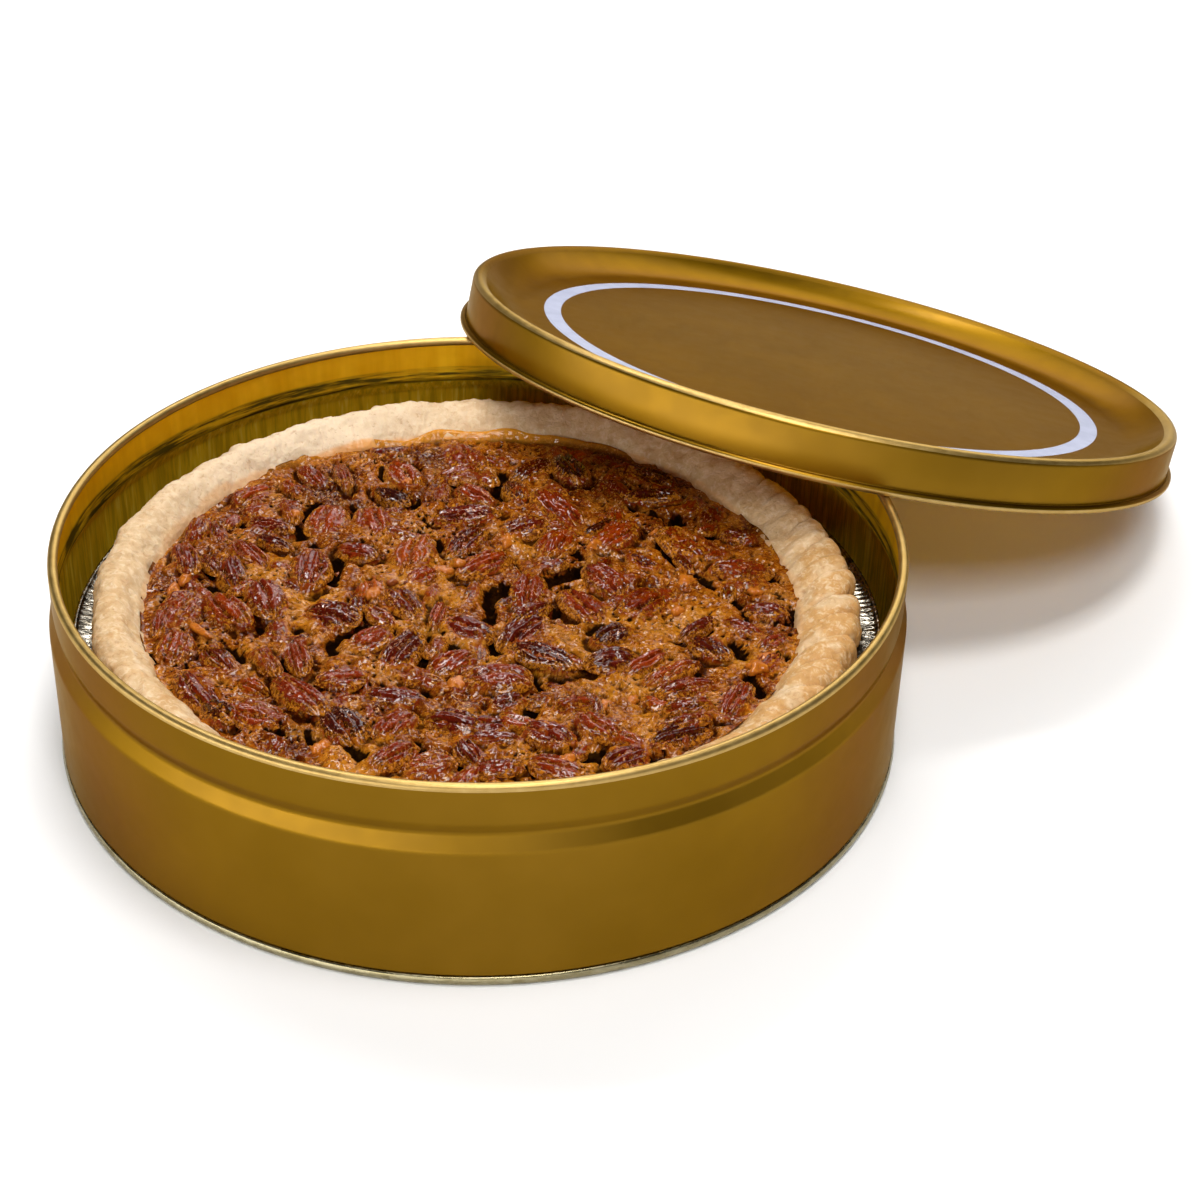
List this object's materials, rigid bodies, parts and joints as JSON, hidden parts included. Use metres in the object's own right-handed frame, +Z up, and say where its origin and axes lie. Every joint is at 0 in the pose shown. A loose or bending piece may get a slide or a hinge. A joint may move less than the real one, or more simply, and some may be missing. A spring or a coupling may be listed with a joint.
{
  "type": "pecan pie in gift tin",
  "caption": "Baked pecan pie in a crimped foil pan, standing in a round gold tin with its slip-over lid leaning on the rim.",
  "frame": {"origin": "centre of the tin's underside, on the surface it stands on", "axes": "+Z up along the tin's axis; the lid leans on the rim towards +X +Y; the front of the tin is -Y"},
  "size_m": [0.3914, 0.4146, 0.0942],
  "materials": {
    "tin_gold": "satin gold lacquer on tinplate, polished inside",
    "tin_seam": "bare tinplate",
    "foil": "bright crimped foil",
    "pastry": "dry baked pastry",
    "filling": "glossy baked caramel custard with pecans",
    "lid_gold": "satin gold lacquer on tinplate with a white printed ring"
  },
  "bodies": {
    "root": {"tin_wall": "tin_gold", "tin_base": "tin_seam", "foil_pan": "foil", "crust": "pastry", "pecan_filling": "filling", "lid": "lid_gold"}
  },
  "joints": []
}
